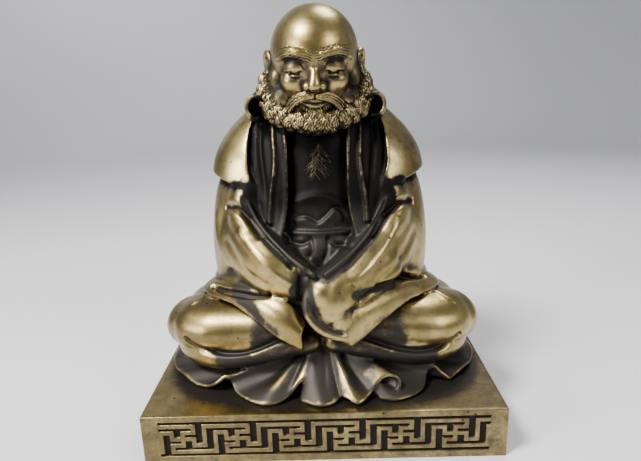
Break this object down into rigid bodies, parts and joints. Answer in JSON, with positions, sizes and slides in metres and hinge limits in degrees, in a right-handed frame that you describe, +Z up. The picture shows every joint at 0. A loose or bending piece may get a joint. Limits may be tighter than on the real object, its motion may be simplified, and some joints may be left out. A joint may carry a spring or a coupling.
{
  "type": "bodhidharma statue",
  "caption": "Cast brass statue of a seated, bearded monk with his hands folded in wide sleeves, on a rectangular plinth with a fret band.",
  "frame": {"origin": "middle of the plinth's footprint, on the surface it stands on", "axes": "+Z up, -Y towards the viewer (the way the figure faces), +X to the viewer's right"},
  "size_m": [0.19, 0.14, 0.2313],
  "materials": {
    "cast_brass": "aged cast brass, polished on its high places, near-black patina in its folds",
    "dark_cast_brass": "aged cast brass, worn bright at its corners and front, with a dark patina on its top"
  },
  "bodies": {
    "root": {"figure": "cast_brass", "plinth": "dark_cast_brass"}
  },
  "joints": []
}
